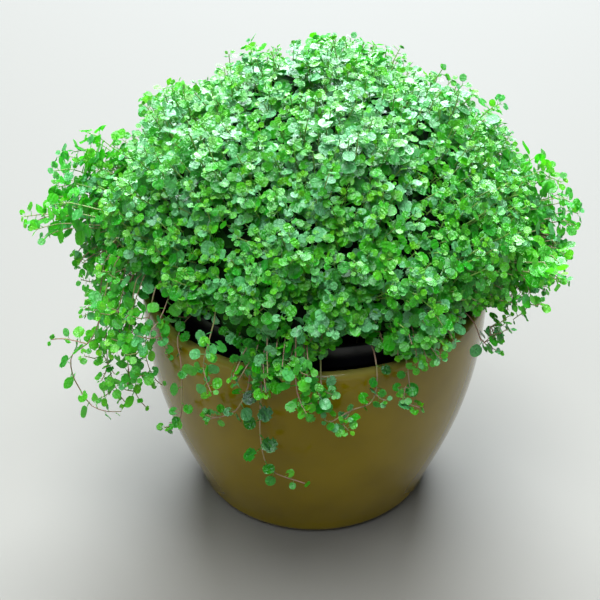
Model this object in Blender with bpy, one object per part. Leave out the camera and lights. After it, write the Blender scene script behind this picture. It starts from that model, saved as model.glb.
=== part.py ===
"""Potted baby's tears: a mound of tiny round leaves in a black nursery pot, set in a glazed cover pot.

Metres, +Z up. The origin is the centre of the cover pot's foot, on the surface that it stands on.
-Y is the front. The pots, the growing mix and the plant rest in each other, and nothing is jointed.
Azimuths are degrees about Z, from +X towards +Y. The leaves are larger than life, so that few of
them cover the mound.
"""

import math
import random

import bmesh
import bpy
from mathutils import Matrix, Vector
from mathutils.bvhtree import BVHTree

MM = 0.001
GAP = 0.3 * MM
UP = Vector((0, 0, 1))
GOLDEN_ANGLE = math.pi * (3 - math.sqrt(5))

# Cover pot: a low bowl-sided cachepot for a 12 cm nursery pot
COVER_HEIGHT = 90 * MM
COVER_RIM_RADIUS = 65 * MM
COVER_FOOT_RADIUS = 45 * MM
COVER_WALL = 4.4 * MM
COVER_FLOOR = 6 * MM
COVER_FOOT_ROUND = 5 * MM
COVER_SIDES = 40
BELLY_RISE = 2.42
BELLY_FLARE = 1.25

# Nursery pot: thin moulded plastic with a banded rim that stands above the cover pot, off its centre
NURSERY_SHIFT = Vector((2 * MM, 1.5 * MM, 0))
NURSERY_FOOT = COVER_FLOOR + GAP
NURSERY_RIM_TOP = 95.5 * MM
NURSERY_RIM_RADIUS = 57.5 * MM
NURSERY_BAND_FOOT = 86.5 * MM
NURSERY_TOP_RADIUS = 55 * MM
NURSERY_FOOT_RADIUS = 38 * MM
NURSERY_WALL = 1.2 * MM
NURSERY_FLOOR = NURSERY_FOOT + 2 * NURSERY_WALL
NURSERY_SIDES = 30
DRAIN_HOLES = 6
DRAIN_RADIUS = 4 * MM
DRAIN_CIRCLE = 24 * MM

# Growing mix: fills the nursery pot to below its rim
SOIL_TOP = 86 * MM
SOIL_CROWN = 2.5 * MM
SOIL_CRUMB = 0.7 * MM
SOIL_RINGS = 4
HOLE_FOOT = SOIL_TOP - 11 * MM
HOLE_CLEARANCE = 0.5 * MM

# Mound of foliage: a dome that spreads past the rim, a little further back than forward
MOUND_CENTRE = Vector((0, 5 * MM, 104 * MM))
MOUND_REACH = 86 * MM
MOUND_RISE = 72 * MM
CORE_DEPTH = 9 * MM
CORE_UNDERSIDE = 2.2 * MM
CORE_POINTS = 120
MOUND_LEAVES = 232
SKIRT_LEAVES = 27
MOUND_LEAF = 12.8 * MM
LEAF_ROOT = 1.3 * MM
BLADE = 0.7 * MM

# Stems: the legs under the mound, the shoots out of it, and the trailing stems over the rim
LEG_COUNT = 11
LEG_RADIUS = 1.1 * MM
LEG_INNER_RING = 10 * MM
LEG_OUTER_RING = 37 * MM
LEG_SPREAD = 1.2
LEG_TOP = MOUND_CENTRE.z + 8 * MM
SHOOT_RADIUS = 0.9 * MM
SHOOT_LEAF = 9 * MM
SHOOT_STEP = 14 * MM
HANGER_EDGE = MOUND_CENTRE.z + 9 * MM
TRAIL_RADIUS = 0.8 * MM
TRAIL_LEAF = 8 * MM
TRAIL_STEP = 8 * MM
TRAIL_ROOT_RING = 45 * MM
RIM_CLEARANCE = 1.2 * MM
STEM_TAPER = 0.7

# Places where the mound draws back and bares the rim: azimuth, half width, depth
BARE_RIM = (
    (-134, 20, 9 * MM),
    (-79, 9, 5 * MM),
)

# Shoots that stand out of the mound: azimuth, height above its centre, reach past its surface, leaves
TUFTS = (
    (181, 8, 20, 6),
    (166, 24, 12, 4),
    (148, 38, 9, 3),
    (122, 54, 8, 3),
    (84, 62, 8, 3),
    (48, 49, 9, 3),
    (22, 34, 9, 3),
    (-4, 8, 12, 4),
)

# Shoots that hang out of the mound's edge: azimuth, furthest reach, lowest height, sideways curl, leaves
HANGERS = (
    (170, 92, 60, 5, 6),
    (179, 88, 47, -6, 6),
    (187, 98, 42, 7, 5),
    (194, 86, 46, 4, 6),
    (202, 82, 58, -5, 5),
    (-16, 88, 84, 5, 3),
    (21, 90, 72, -7, 4),
    (62, 92, 62, 6, 5),
    (101, 95, 70, -6, 4),
    (138, 92, 60, 5, 5),
)

# Trailing stems over the rim: name, azimuth, reach, lowest height, sideways curl, leaves
TRAILS = (
    ("trailing_stem_front_long", -106, 69, 42, 15, 8),
    ("trailing_stem_front_left", -119, 70, 62, -11, 7),
    ("trailing_stem_left_front", -143, 71, 57, -3, 6),
    ("trailing_stem_front", -91, 73, 76, -1, 5),
    ("trailing_stem_front_right", -71, 71, 64, -7, 8),
    ("trailing_stem_right_front", -55, 72, 73, 6, 6),
    ("trailing_stem_right", -33, 73, 78, 5, 5),
    ("trailing_stem_back_right", 42, 74, 54, 6, 7),
    ("trailing_stem_back", 84, 73, 48, -6, 7),
    ("trailing_stem_back_left", 119, 73, 60, 5, 7),
)


def clear_scene():
    for obj in list(bpy.data.objects):
        bpy.data.objects.remove(obj, do_unlink=True)


def make_material(name, colour, roughness):
    material = bpy.data.materials.new(name)
    material.use_nodes = True
    shader = material.node_tree.nodes["Principled BSDF"]
    shader.inputs["Base Color"].default_value = (*colour, 1)
    shader.inputs["Roughness"].default_value = roughness
    shader.inputs["Metallic"].default_value = 0
    return material


def object_from_bmesh(name, bm, material=None, collection=None):
    """A closed mesh object whose faces point out, in the scene or in a collection of repeats."""
    bmesh.ops.recalc_face_normals(bm, faces=bm.faces)
    mesh = bpy.data.meshes.new(name)
    bm.to_mesh(mesh)
    bm.free()
    if material:
        mesh.materials.append(material)
    obj = bpy.data.objects.new(name, mesh)
    (collection or bpy.context.scene.collection).objects.link(obj)
    return obj


def new_collection(name):
    collection = bpy.data.collections.new(name)
    bpy.context.scene.collection.children.link(collection)
    return collection


def apply_boolean(obj, operand, operation, solver):
    """Applies one Boolean with a collection, then removes the collection and its objects."""
    modifier = obj.modifiers.new(operation.lower(), "BOOLEAN")
    modifier.operation = operation
    modifier.operand_type = "COLLECTION"
    modifier.collection = operand
    modifier.solver = solver
    bpy.context.view_layer.update()
    evaluated = obj.evaluated_get(bpy.context.evaluated_depsgraph_get())
    mesh = bpy.data.meshes.new_from_object(evaluated)
    material = obj.data.materials[0]
    obj.modifiers.clear()
    obj.data = mesh
    mesh.materials.clear()
    mesh.materials.append(material)
    for used in list(operand.objects):
        bpy.data.objects.remove(used, do_unlink=True)
    bpy.data.collections.remove(operand)


def drop_scraps(obj):
    """Keeps the largest connected body of a mesh."""
    bm = bmesh.new()
    bm.from_mesh(obj.data)
    left = set(bm.verts)
    bodies = []
    while left:
        body = [left.pop()]
        for vert in body:
            for edge in vert.link_edges:
                other = edge.other_vert(vert)
                if other in left:
                    left.remove(other)
                    body.append(other)
        bodies.append(body)
    bodies.sort(key=len)
    for body in bodies[:-1]:
        bmesh.ops.delete(bm, geom=body, context="VERTS")
    bm.to_mesh(obj.data)
    bm.free()


def turned(name, profile, sides, material):
    """A closed solid turned about Z from (radius, height) points that start and end on the axis."""
    bm = bmesh.new()
    verts = [bm.verts.new((radius, 0, height)) for radius, height in profile]
    edges = [bm.edges.new(pair) for pair in zip(verts, verts[1:])]
    bmesh.ops.spin(
        bm, geom=verts + edges, cent=(0, 0, 0), axis=UP, angle=math.tau, steps=sides, use_merge=True
    )
    bmesh.ops.remove_doubles(bm, verts=bm.verts, dist=0.01 * MM)
    obj = object_from_bmesh(name, bm, material)
    obj.data.shade_smooth()
    obj.data.set_sharp_from_angle(angle=math.radians(35))
    return obj


def cover_radius(height):
    """The cover pot's outer radius: it flares fast above the foot and stands upright at the rim."""
    share = height / COVER_HEIGHT
    belly = (1 - (1 - share) ** BELLY_RISE) ** BELLY_FLARE
    return COVER_FOOT_RADIUS + (COVER_RIM_RADIUS - COVER_FOOT_RADIUS) * belly


def make_cover_pot(material):
    foot_edge = cover_radius(COVER_FOOT_ROUND) - COVER_FOOT_ROUND
    lip = COVER_WALL / 2
    profile = [(0, 0)]
    for degrees in (0, 45, 90):
        turn = math.radians(degrees)
        profile.append(
            (foot_edge + COVER_FOOT_ROUND * math.sin(turn), COVER_FOOT_ROUND * (1 - math.cos(turn)))
        )
    for share in (0.17, 0.31, 0.48, 0.70):
        profile.append((cover_radius(share * COVER_HEIGHT), share * COVER_HEIGHT))
    for degrees in (0, 50, 90, 130, 180):
        turn = math.radians(degrees)
        profile.append(
            (COVER_RIM_RADIUS + lip * (math.cos(turn) - 1), COVER_HEIGHT + lip * (math.sin(turn) - 1))
        )
    for share in (0.50, 0.20):
        profile.append((cover_radius(share * COVER_HEIGHT) - COVER_WALL, share * COVER_HEIGHT))
    profile.append((foot_edge, COVER_FLOOR))
    profile.append((0, COVER_FLOOR))
    return turned("cover_pot", profile, COVER_SIDES, material)


def nursery_radius(height):
    """The nursery pot's outer radius below its rim band."""
    share = (height - NURSERY_FOOT) / (NURSERY_BAND_FOOT - NURSERY_FOOT)
    return NURSERY_FOOT_RADIUS + (NURSERY_TOP_RADIUS - NURSERY_FOOT_RADIUS) * share


def make_nursery_pot(material):
    edge = 0.8 * MM
    profile = [
        (0, NURSERY_FOOT),
        (NURSERY_FOOT_RADIUS - 2 * edge, NURSERY_FOOT),
        (nursery_radius(NURSERY_FOOT + 2 * edge), NURSERY_FOOT + 2 * edge),
        (NURSERY_TOP_RADIUS, NURSERY_BAND_FOOT - edge),
        (NURSERY_RIM_RADIUS - edge, NURSERY_BAND_FOOT),
        (NURSERY_RIM_RADIUS, NURSERY_RIM_TOP - edge),
        (NURSERY_RIM_RADIUS - edge, NURSERY_RIM_TOP),
        (NURSERY_RIM_RADIUS - edge - NURSERY_WALL, NURSERY_RIM_TOP - edge / 2),
        (NURSERY_TOP_RADIUS - NURSERY_WALL, NURSERY_BAND_FOOT),
        (nursery_radius(NURSERY_FLOOR) - NURSERY_WALL, NURSERY_FLOOR),
        (0, NURSERY_FLOOR),
    ]
    pot = turned("nursery_pot", profile, NURSERY_SIDES, material)
    pot.data.transform(Matrix.Translation(NURSERY_SHIFT))
    holes = new_collection("drain_holes")
    for index in range(DRAIN_HOLES):
        turn = math.tau * index / DRAIN_HOLES
        place = Vector((DRAIN_CIRCLE * math.cos(turn), DRAIN_CIRCLE * math.sin(turn), NURSERY_FOOT))
        bm = bmesh.new()
        bmesh.ops.create_cone(
            bm, cap_ends=True, segments=8, radius1=DRAIN_RADIUS, radius2=DRAIN_RADIUS,
            depth=8 * NURSERY_WALL, matrix=Matrix.Translation(place + NURSERY_SHIFT),
        )
        object_from_bmesh(f"drain_hole_{index}", bm, collection=holes)
    apply_boolean(pot, holes, "DIFFERENCE", "EXACT")
    return pot


def make_soil(material, roots):
    """The growing mix, uneven on top, with a plain hole for each stem that stands in it."""
    floor = NURSERY_FLOOR + GAP
    inset = NURSERY_WALL + GAP
    rim = nursery_radius(SOIL_TOP) - inset
    profile = [(0, floor), (nursery_radius(floor) - inset, floor)]
    for ring in range(SOIL_RINGS + 1):
        profile.append((rim * (1 - ring / SOIL_RINGS), SOIL_TOP))
    soil = turned("growing_mix", profile, NURSERY_SIDES, material)
    for vert in soil.data.vertices:
        spot = vert.co
        if spot.z > SOIL_TOP - MM:
            middle = 1 - (spot.x ** 2 + spot.y ** 2) / rim ** 2
            crumbs = math.sin(spot.x / (5.1 * MM)) * math.cos(spot.y / (4.3 * MM))
            spot.z += SOIL_CROWN * middle + SOIL_CRUMB * crumbs * min(1, 3 * middle)
    soil.data.transform(Matrix.Translation(NURSERY_SHIFT))
    holes = new_collection("stem_holes")
    depth = 2 * (SOIL_TOP - HOLE_FOOT)
    for index, (foot, radius) in enumerate(roots):
        bm = bmesh.new()
        place = Matrix.Translation(foot + (depth / 2 - GAP) * UP)
        bmesh.ops.create_cone(
            bm, cap_ends=True, segments=5, radius1=radius, radius2=radius, depth=depth, matrix=place
        )
        object_from_bmesh(f"stem_hole_{index}", bm, collection=holes)
    apply_boolean(soil, holes, "DIFFERENCE", "EXACT")
    return soil


def around(azimuth_degrees, radius, height):
    turn = math.radians(azimuth_degrees)
    return Vector((radius * math.cos(turn), radius * math.sin(turn), height))


def mound_point(direction, depth=0.0):
    """The point of the mound that way from its centre, at a depth below its outermost leaves."""
    azimuth = math.atan2(direction.y, direction.x)
    rise = max(0, direction.z)
    swell = (
        0.028 * math.sin(3 * azimuth + 0.6) * (1 - rise)
        + 0.022 * math.sin(5 * azimuth - 1.1 + 3 * rise)
        + 0.020 * math.cos(7 * rise + 2 * azimuth)
    )
    reach = (MOUND_REACH - depth) * (1 + swell)
    height = (MOUND_RISE - depth) * (1 + swell) if direction.z > 0 else CORE_UNDERSIDE
    for middle, half_width, bare in BARE_RIM:
        off = (math.degrees(azimuth) - middle + 180) % 360 - 180
        reach -= bare * math.exp(-((off / half_width) ** 2)) * max(0, 1 - 2.5 * rise)
    return MOUND_CENTRE + Vector((direction.x * reach, direction.y * reach, direction.z * height))


def spiral(count, highest, lowest):
    """Directions that a golden-angle spiral spreads evenly between two rises of the unit sphere."""
    for index in range(count):
        rise = highest - (highest - lowest) * (index + 0.5) / count
        level = math.sqrt(1 - rise * rise)
        turn = GOLDEN_ANGLE * index
        yield Vector((level * math.cos(turn), level * math.sin(turn), rise))


def make_core(material):
    """The mound's inner body, smaller than the mound, which the leaves stand out of."""
    bm = bmesh.new()
    for direction in spiral(CORE_POINTS, 1, -1):
        bm.verts.new(direction)
    bmesh.ops.convex_hull(bm, input=bm.verts)
    for vert in bm.verts:
        vert.co = mound_point(vert.co.normalized(), CORE_DEPTH)
    return object_from_bmesh("leafy_mound", bm, material)


def add_leaf(collection, base, along, face, length):
    """One round leaf: a thin blade with a pointed foot, cupped a little towards its upper face."""
    along = along.normalized()
    across = along.cross(face).normalized()
    face = across.cross(along)
    outline = ((0, 0, 0), (0.46, 0.48, 0.08), (0.27, 0.97, 0.05), (-0.27, 0.97, 0.05), (-0.46, 0.48, 0.08))
    bm = bmesh.new()
    sheets = []
    for offset in (-BLADE / 2, BLADE / 2):
        sheets.append([
            bm.verts.new(base + length * (x * across + y * along + z * face) + offset * face)
            for x, y, z in outline
        ])
    low, high = sheets
    for a, b, c in ((0, 1, 4), (4, 1, 2), (4, 2, 3)):
        bm.faces.new((high[a], high[b], high[c]))
        bm.faces.new((low[c], low[b], low[a]))
    for index in range(len(outline)):
        ahead = (index + 1) % len(outline)
        bm.faces.new((low[index], low[ahead], high[ahead], high[index]))
    object_from_bmesh("leaf", bm, collection=collection)


def make_stem(name, points, foot_radius, sides, material=None, collection=None):
    """A closed stem of few sides along the points, tapered from its foot to its tip."""
    bm = bmesh.new()
    rings = []
    side = None
    last = len(points) - 1
    for index, point in enumerate(points):
        along = (points[min(index + 1, last)] - points[max(index - 1, 0)]).normalized()
        side = along.orthogonal() if side is None else side - along * side.dot(along)
        side.normalize()
        other = along.cross(side)
        radius = foot_radius * (1 - (1 - STEM_TAPER) * index / last)
        turns = [math.tau * step / sides for step in range(sides)]
        rings.append([
            bm.verts.new(point + radius * (math.cos(turn) * side + math.sin(turn) * other))
            for turn in turns
        ])
    for low, high in zip(rings, rings[1:]):
        for step in range(sides):
            ahead = (step + 1) % sides
            bm.faces.new((low[step], low[ahead], high[ahead], high[step]))
    bm.faces.new(rings[0])
    bm.faces.new(rings[-1])
    bmesh.ops.triangulate(bm, faces=bm.faces)
    return object_from_bmesh(name, bm, material, collection)


def smooth_line(points, step):
    """Points about every step along a Catmull-Rom curve through the given points."""
    ends = [2 * points[0] - points[1]] + points + [2 * points[-1] - points[-2]]
    line = []
    for index in range(1, len(ends) - 2):
        before, start, end, after = ends[index - 1:index + 3]
        pieces = max(1, round((end - start).length / step))
        for piece in range(pieces):
            t = piece / pieces
            line.append(0.5 * (
                2 * start
                + (end - before) * t
                + (2 * before - 5 * start + 4 * end - after) * t ** 2
                + (3 * start - before - 3 * end + after) * t ** 3
            ))
    line.append(points[-1])
    return line


def add_stem_leaves(collection, chance, line, first, count, length):
    """Leaves in turn on both sides of a stem, from the point numbered first to a last leaf at its tip."""
    last = len(line) - 1
    for index in range(count):
        place = min(last - 0.01, first + (last - first) * (index + 0.5) / (count - 0.5))
        start = int(place)
        base = line[start].lerp(line[start + 1], place - start)
        stem = (line[start + 1] - line[start]).normalized()
        outward = Vector((base.x, base.y, 0)).normalized()
        facing = (outward + chance.uniform(0.3, 0.9) * UP).normalized()
        side = stem.cross(facing).normalized() * (1 if index % 2 else -1)
        along = side + chance.uniform(0.1, 0.4) * outward + chance.uniform(0.1, 0.5) * stem
        if index == count - 1:
            along = stem + 0.4 * outward
        add_leaf(collection, base, along, facing, length * chance.uniform(0.8, 1.15))


def leg_foot(index):
    """Where a leg stands in the growing mix: on a spiral inside the ring of trailing stems."""
    share = math.sqrt((index + 0.5) / LEG_COUNT)
    radius = LEG_INNER_RING + (LEG_OUTER_RING - LEG_INNER_RING) * share
    return around(math.degrees(GOLDEN_ANGLE * index), radius, HOLE_FOOT)


def add_legs(collection):
    """The stems that carry the mound, from their holes in the growing mix up into the core."""
    for index in range(LEG_COUNT):
        foot = leg_foot(index)
        level = Vector((foot.x, foot.y, SOIL_TOP + 2 * SOIL_CROWN))
        top = Vector((LEG_SPREAD * foot.x, LEG_SPREAD * foot.y, LEG_TOP))
        make_stem(f"leg_{index}", [foot, level, top], LEG_RADIUS, 4, collection=collection)


def add_mound_leaves(collection, core):
    """Leaves over the whole dome, tips down and out like loose shingles, in drifts that swing to and fro."""
    chance = random.Random(23)
    surface = BVHTree.FromPolygons(
        [vert.co for vert in core.data.vertices], [tuple(face.vertices) for face in core.data.polygons]
    )
    for direction in spiral(MOUND_LEAVES, 1, 0.01):
        reach = mound_point(direction) - MOUND_CENTRE
        foot, outward, _, _ = surface.ray_cast(MOUND_CENTRE + 2 * reach, -reach)
        azimuth = math.atan2(direction.y, direction.x)
        downhill = (outward * outward.z - UP).normalized()
        drift = 0.9 * math.sin(3 * azimuth + 4 * direction.z) + 0.7 * math.cos(7 * direction.z - 2 * azimuth)
        swing = Matrix.Rotation(drift + chance.uniform(-0.3, 0.3), 3, outward)
        lift = math.radians(chance.uniform(24, 46))
        spoke = swing @ downhill
        along = math.cos(lift) * spoke + math.sin(lift) * outward
        face = math.cos(lift) * outward - math.sin(lift) * spoke
        base = foot - LEAF_ROOT * outward
        add_leaf(collection, base, along, face, MOUND_LEAF * chance.uniform(0.88, 1.12))


def add_skirt(collection):
    """Leaves that hang round the mound's lower edge, outside the pots, and hide the gap above the rims."""
    chance = random.Random(29)
    for index in range(SKIRT_LEAVES):
        azimuth = math.tau * (index + chance.uniform(-0.15, 0.15)) / SKIRT_LEAVES
        outward = Vector((math.cos(azimuth), math.sin(azimuth), 0))
        foot = mound_point(outward, CORE_DEPTH + 2.5 * MM) + chance.uniform(1.5, 4) * MM * UP
        droop = math.radians(chance.uniform(55, 68))
        along = math.cos(droop) * outward - math.sin(droop) * UP
        face = math.sin(droop) * outward + math.cos(droop) * UP
        add_leaf(collection, foot, along, face, MOUND_LEAF * chance.uniform(0.85, 1))


def add_tufts(collection):
    """The shoots that break the mound's outline."""
    chance = random.Random(37)
    for number, (azimuth, height, reach, leaves) in enumerate(TUFTS):
        rise = height * MM / MOUND_RISE
        direction = around(azimuth, math.sqrt(1 - rise * rise), rise)
        start = mound_point(direction, CORE_DEPTH + 3 * MM)
        edge = mound_point(direction)
        outward = (edge - start).normalized()
        tip = edge + reach * MM * (outward - 0.25 * (1 - rise) * UP).normalized()
        line = [start, start.lerp(edge, 0.8), edge.lerp(tip, 0.5) + 1.5 * MM * UP, tip]
        make_stem(f"tuft_{number}", line, SHOOT_RADIUS, 3, collection=collection)
        add_stem_leaves(collection, chance, line, 1, leaves, SHOOT_LEAF)


def add_hangers(collection):
    """The shoots that arch out of the mound's edge and hang beside the pot."""
    chance = random.Random(53)
    for number, (azimuth, reach, lowest, curl, leaves) in enumerate(HANGERS):
        reach *= MM
        lowest *= MM
        start = mound_point(around(azimuth, 1, 0.1), CORE_DEPTH + 4 * MM)
        marks = [
            start,
            around(azimuth, reach - 6 * MM, HANGER_EDGE - 4 * MM),
            around(azimuth + 0.2 * curl, reach, 0.4 * HANGER_EDGE + 0.6 * lowest),
            around(azimuth + 0.6 * curl, reach - 1 * MM, 0.12 * HANGER_EDGE + 0.88 * lowest),
            around(azimuth + curl, reach - 4 * MM, lowest),
        ]
        line = smooth_line(marks, SHOOT_STEP)
        make_stem(f"hanger_{number}", line, SHOOT_RADIUS, 3, collection=collection)
        add_stem_leaves(collection, chance, line, 1.5, leaves, SHOOT_LEAF)


def make_mound(material):
    mound = make_core(material)
    repeats = new_collection("mound_repeats")
    add_legs(repeats)
    add_mound_leaves(repeats, mound)
    add_skirt(repeats)
    add_tufts(repeats)
    add_hangers(repeats)
    apply_boolean(mound, repeats, "UNION", "MANIFOLD")
    drop_scraps(mound)
    return mound


def trail_line(azimuth, reach, lowest, curl):
    """A trailing stem's line: up out of the growing mix, over both rims, and down outside the pot."""
    reach *= MM
    lowest *= MM
    over_rim = NURSERY_RIM_TOP + TRAIL_RADIUS + RIM_CLEARANCE
    beside = COVER_RIM_RADIUS + TRAIL_RADIUS + RIM_CLEARANCE
    marks = [
        around(azimuth, TRAIL_ROOT_RING, HOLE_FOOT),
        around(azimuth, TRAIL_ROOT_RING + 0.5 * MM, SOIL_TOP + 2 * MM),
        around(azimuth, TRAIL_ROOT_RING + 6 * MM, over_rim - 0.6 * MM),
        around(azimuth, NURSERY_RIM_RADIUS + 2.5 * MM, over_rim),
        around(azimuth + 0.1 * curl, beside, COVER_HEIGHT + 3 * MM),
        around(azimuth + 0.2 * curl, max(beside, reach - 2 * MM), COVER_HEIGHT - 5 * MM),
        around(azimuth + 0.5 * curl, reach, 0.45 * COVER_HEIGHT + 0.55 * lowest),
        around(azimuth + 0.8 * curl, reach - 1 * MM, lowest + 5 * MM),
        around(azimuth + 1.2 * curl, reach - 1 * MM, lowest),
    ]
    return smooth_line(marks, TRAIL_STEP)


def make_trail(number, name, azimuth, reach, lowest, curl, leaves, material):
    """A trailing stem, with leaves where it hangs outside the pot."""
    line = trail_line(azimuth, reach, lowest, curl)
    stem = make_stem(name, line, TRAIL_RADIUS, 3, material)
    outside = [index for index, point in enumerate(line) if point.z < COVER_HEIGHT - 3 * MM]
    first = next(index for index in outside if index > 4)
    repeats = new_collection(f"{name}_leaves")
    add_stem_leaves(repeats, random.Random(100 + number), line, first, leaves, TRAIL_LEAF)
    apply_boolean(stem, repeats, "UNION", "MANIFOLD")
    drop_scraps(stem)
    return stem


def stem_holes():
    """The foot and radius of each stem's hole in the growing mix."""
    holes = [(leg_foot(index), LEG_RADIUS + HOLE_CLEARANCE) for index in range(LEG_COUNT)]
    for _, azimuth, reach, lowest, curl, _ in TRAILS:
        holes.append((trail_line(azimuth, reach, lowest, curl)[0], TRAIL_RADIUS + HOLE_CLEARANCE))
    return holes


def main():
    clear_scene()
    make_cover_pot(make_material("olive_glaze", (0.21, 0.17, 0.022), 0.18))
    make_nursery_pot(make_material("black_plastic", (0.012, 0.010, 0.016), 0.4))
    make_soil(make_material("peat_mix", (0.035, 0.022, 0.014), 0.95), stem_holes())
    make_mound(make_material("mound_leaf", (0.09, 0.34, 0.03), 0.45))
    trailing_leaf = make_material("trailing_leaf", (0.12, 0.30, 0.04), 0.45)
    for number, trail in enumerate(TRAILS):
        make_trail(number, *trail, trailing_leaf)


main()
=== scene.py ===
"""Looks for a potted baby's tears: a mound of tiny leaves in a nursery pot, set in a glazed cover pot.

Metres, in the CAD's frame: +Z up, the origin under the cover pot's foot, -Y the front. The plant's
lines and the pots' profiles repeat the values of the part's source, so every piece sits where its
node is. Azimuths are degrees about Z, from +X towards +Y.
"""

import math
import random

import bpy
import numpy as np
from mathutils import Matrix, Vector, noise


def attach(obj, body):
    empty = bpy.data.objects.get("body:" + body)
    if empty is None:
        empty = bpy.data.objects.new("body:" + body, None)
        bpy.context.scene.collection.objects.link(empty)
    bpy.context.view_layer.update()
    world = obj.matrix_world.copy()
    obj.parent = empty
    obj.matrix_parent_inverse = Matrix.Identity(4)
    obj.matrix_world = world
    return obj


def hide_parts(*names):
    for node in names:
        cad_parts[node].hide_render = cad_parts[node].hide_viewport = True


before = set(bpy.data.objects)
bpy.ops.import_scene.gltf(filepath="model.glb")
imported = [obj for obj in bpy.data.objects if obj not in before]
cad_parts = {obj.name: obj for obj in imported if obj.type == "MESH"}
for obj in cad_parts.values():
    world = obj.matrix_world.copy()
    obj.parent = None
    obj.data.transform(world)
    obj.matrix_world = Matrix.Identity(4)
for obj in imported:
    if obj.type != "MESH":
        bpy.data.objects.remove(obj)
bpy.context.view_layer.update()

MM = 0.001
UP = Vector((0, 0, 1))
GOLDEN_ANGLE = math.pi * (3 - math.sqrt(5))

# Cover pot
COVER_HEIGHT = 90 * MM
COVER_RIM_RADIUS = 65 * MM
COVER_FOOT_RADIUS = 45 * MM
COVER_WALL = 4.4 * MM
COVER_FLOOR = 6 * MM
COVER_FOOT_ROUND = 5 * MM
COVER_FOOT_RING = 6 * MM
COVER_SIDES = 144
BELLY_RISE = 2.42
BELLY_FLARE = 1.25

# Nursery pot
NURSERY_SHIFT = Vector((2 * MM, 1.5 * MM, 0))
NURSERY_FOOT = 6.3 * MM
NURSERY_RIM_TOP = 95.5 * MM
NURSERY_RIM_RADIUS = 57.5 * MM
NURSERY_BAND_FOOT = 86.5 * MM
NURSERY_TOP_RADIUS = 55 * MM
NURSERY_FOOT_RADIUS = 38 * MM
NURSERY_WALL = 1.2 * MM
NURSERY_FLOOR = 8.7 * MM
NURSERY_EDGE = 0.8 * MM
NURSERY_MOUTH = 48 * MM
NURSERY_SIDES = 96
DRAIN_HOLES = 6
DRAIN_RADIUS = 4 * MM
DRAIN_CIRCLE = 24 * MM

# Growing mix
SOIL_TOP = 86 * MM
SOIL_CROWN = 2.5 * MM
SOIL_RADIUS = 53 * MM
CRUMB_COUNT = 700
CRUMB_SIZES = (0.5 * MM, 1.6 * MM)

# Mound of foliage
MOUND_CENTRE = Vector((0, 5 * MM, 104 * MM))
MOUND_REACH = 86 * MM
MOUND_RISE = 72 * MM
CORE_DEPTH = 9 * MM
CORE_UNDERSIDE = 2.2 * MM
TANGLE_DEPTH = 15 * MM
SHOOT_COUNT = 1650
SHOOT_LENGTH = 24 * MM
SHOOT_LEAVES = 11
TUFT_LEAVES = 14
SIDE_SHOOT_LEAVES = 8
LOWEST_RISE = -0.12
LEG_COUNT = 70
LEG_CIRCLE = 50 * MM
HANGER_EDGE = MOUND_CENTRE.z + 9 * MM
HANGER_REACH = 73
HANGER_SIDE_SHOOTS = (8, 18, 30, 42, 52)

# Where the mound's foot is drawn in and leaves the rims bare: azimuth, half width, depth
BARE_RIM = (
    (-134, 20, 10 * MM),
    (-79, 9, 5 * MM),
)

# Where the skirt of shoots is lifted off the rims: azimuth, half width, share of a full lift
LIFTED_SKIRT = (
    (-136, 24, 1.25),
    (-80, 10, 0.8),
    (-43, 16, 0.8),
)

# Where the mound bulges or draws in: azimuth, height as a share of its rise, half angle, millimetres
SWELLS = (
    (11, 0.48, 10, -5),
    (19, 0.72, 11, -13),
    (36, 0.79, 14, -7),
    (75, 0.84, 12, -2),
    (136, 0.94, 8, 4),
    (146, 0.86, 8, -5),
    (150, 0.80, 13, -10),
    (160, 0.54, 9, -4),
    (172, 0.20, 10, 3),
    (3, 0.12, 9, 4),
    (-92, 0.38, 11, -7),
    (-74, 0.57, 10, -5),
    (-138, 0.10, 8, 3),
)

# Bunches of shoots that stand out of the mound: azimuth, height above its centre, reach past its
# surface, and number of shoots
TUFTS = (
    (181, 7, 22, 7),
    (175, 9, 13, 7),
    (169, 19, 14, 6),
    (157, 45, 4, 3),
    (117, 54, 5, 3),
    (90, 62, 1, 3),
    (62, 60, 2, 3),
    (32, 52, 5, 3),
    (15, 44, 11, 4),
    (7, 17, 7, 5),
    (3, 6, 9, 6),
    (-7, 0, 7, 5),
    (-18, 2, 10, 6),
)

# Shoots that hang out of the mound's edge: azimuth, furthest reach, lowest height, sideways curl,
# strands, and distance between their leaves
HANGERS = (
    (173, 83, 76, 5, 1, 3.2),
    (181, 81, 64, -5, 2, 3.2),
    (190, 82, 56, 4, 2, 3.2),
    (199, 81, 52, 5, 3, 3.2),
    (209, 77, 56, 3, 4, 3.2),
    (216, 74, 70, 3, 2, 3.4),
    (-119, 75, 87, -2, 1, 3.6),
    (-95, 75, 84, 2, 1, 3.0),
    (-20, 82, 92, -5, 2, 3.2),
    (21, 90, 72, -7, 4, 3.4),
    (62, 92, 62, 6, 4, 3.4),
    (101, 95, 70, -6, 4, 3.4),
    (138, 92, 60, 5, 4, 3.4),
)

# The lone strand that swings out of the left bunch and curls at its tip, and the twig on its shoulder:
# azimuth, radius, height
CURLED_STRAND = (
    (200, 78, 104),
    (202, 84, 87),
    (200, 88, 78),
    (197.5, 93, 72),
    (195, 94, 63.5),
    (193.5, 93, 55),
    (195, 91, 50.5),
    (197.5, 88, 46.5),
    (203, 84, 49),
    (206.7, 80, 51.5),
)
SHOULDER_TWIG = (
    (200, 88, 78),
    (196.5, 95, 78),
    (193.5, 100, 75),
)

# How a trailing stem takes its sideways curl: its share at the rim, below it, half way down, near the
# tip and at the tip
SPREAD = (0.05, 0.1, 0.3, 0.65, 1.2)
HOOKED = (0, 0, 0, 0.2, 1)
BOWED = (0.3, 0.8, 1, 0.6, -0.2)

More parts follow.
